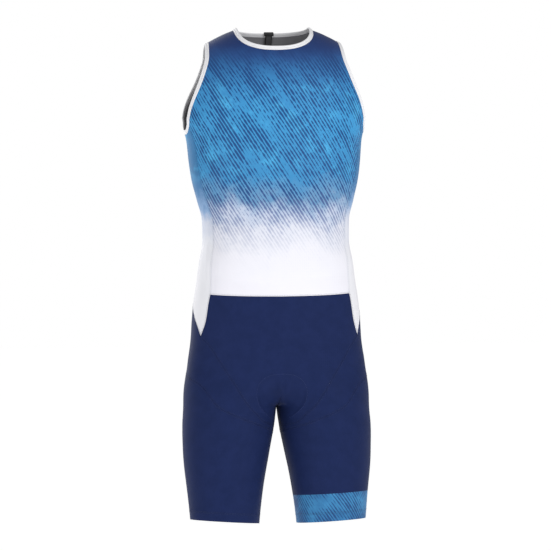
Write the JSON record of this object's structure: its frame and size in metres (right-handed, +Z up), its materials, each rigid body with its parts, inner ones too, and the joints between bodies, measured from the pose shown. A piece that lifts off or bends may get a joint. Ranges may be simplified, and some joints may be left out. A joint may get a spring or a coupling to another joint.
{
  "type": "skinsuit",
  "caption": "Sleeveless one-piece racing skinsuit in knitted cloth, with a rear zip, a seat pad and short legs, shown hollow in its worn shape",
  "frame": {"origin": "midway between the shoulders, at the height of the neck's side points, where the wearer's shoulders carry the suit", "axes": "+Z up along the wearer, the suit faces -Y, the wearer's left is +X"},
  "size_m": [0.354, 0.2302, 0.9257],
  "materials": {
    "printed_knit": "smooth stretch knit with a soft sheen, printed",
    "side_knit": "smooth stretch knit, printed",
    "navy_knit": "smooth stretch knit, matt",
    "band_knit": "smooth stretch knit, printed",
    "white_tape": "folded elastic edge tape",
    "grey_pad": "soft brushed fleece over thin foam",
    "black_tape": "woven zip tape",
    "zip_metal": "dark coated metal"
  },
  "bodies": {
    "suit": {"torso_front": "printed_knit", "torso_back_left": "printed_knit", "torso_back_right": "printed_knit", "torso_side_left": "side_knit", "torso_side_right": "side_knit", "shorts_front": "navy_knit", "hip_left": "navy_knit", "hip_right": "navy_knit", "leg_left": "navy_knit", "leg_right": "navy_knit", "hem_band_left": "band_knit", "neck_binding": "white_tape", "armhole_binding_left": "white_tape", "armhole_binding_right": "white_tape", "chamois_pad": "grey_pad", "zip_tape": "black_tape", "zip_guard": "black_tape", "zip_cover": "black_tape", "zip_slider": "zip_metal"},
    "pull_tab": {"zip_pull_tab": "zip_metal"}
  },
  "joints": [
    {"name": "pull_tab_hinge", "type": "hinge", "parent": "suit", "child": "pull_tab", "pos_m": [0, 0.08889, -0.01664], "axis": [1, 0, 0], "range_deg": [0, 165]}
  ]
}
